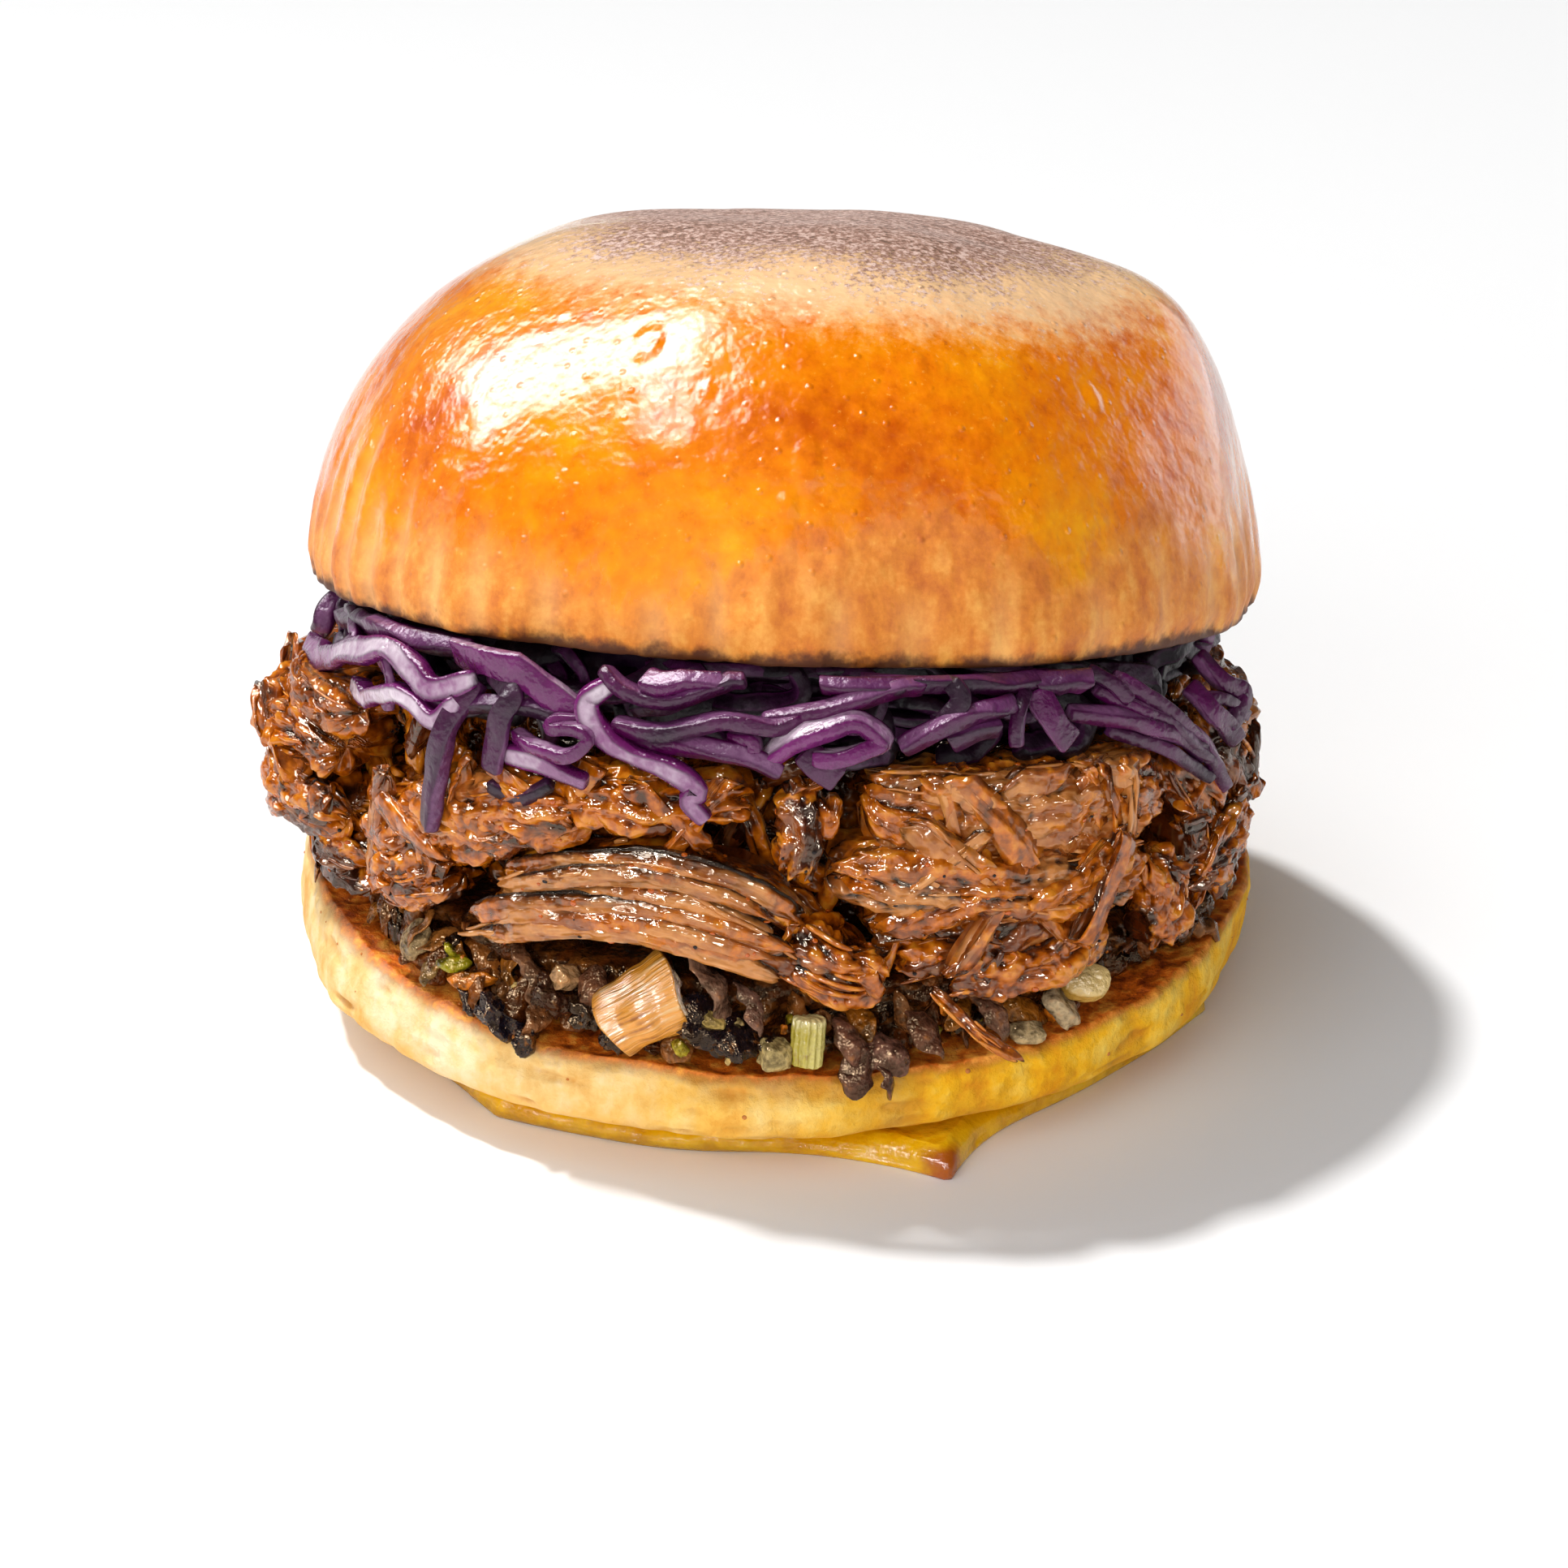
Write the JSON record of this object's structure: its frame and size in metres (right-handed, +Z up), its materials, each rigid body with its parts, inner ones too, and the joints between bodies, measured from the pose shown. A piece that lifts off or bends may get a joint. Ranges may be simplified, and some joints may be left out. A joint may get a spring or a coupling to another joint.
{
  "type": "lamb burger",
  "caption": "Pulled lamb burger: a glazed, toasted brioche bun around slow-cooked lamb, onion relish and red cabbage slaw, on a slice of melted cheese.",
  "frame": {"origin": "on the surface it rests on, under the middle of the burger's box", "axes": "+Z up through the burger; -Y towards the open front, where the filling shows most; +X to the right seen from the front"},
  "size_m": [0.1154, 0.1154, 0.0929],
  "materials": {
    "glazed_crust": "glossy egg-glazed golden crust, charred spot on top",
    "toasted_bread": "matte cream crumb side with a toasted, sauce-stained cut face",
    "melted_cheese": "soft glossy yellow melted cheese",
    "browned_onion": "wet browned onion with charred bits",
    "browned_leek": "roasted golden vegetable with a browned skin",
    "green_stalk": "pale green ribbed stalk",
    "pale_slice": "pale soft slice",
    "braised_lamb": "brown fibrous braised meat, wet with sauce",
    "red_cabbage": "crisp purple skin with white cut edges"
  },
  "bodies": {
    "root": {"cheese_slice": "melted_cheese", "bun_bottom": "toasted_bread", "relish": "browned_onion", "browned_leek": "browned_leek", "stalk_slice": "green_stalk", "garlic_slice": "pale_slice", "lamb": "braised_lamb", "slaw": "red_cabbage", "bun_top": "glazed_crust"}
  },
  "joints": []
}
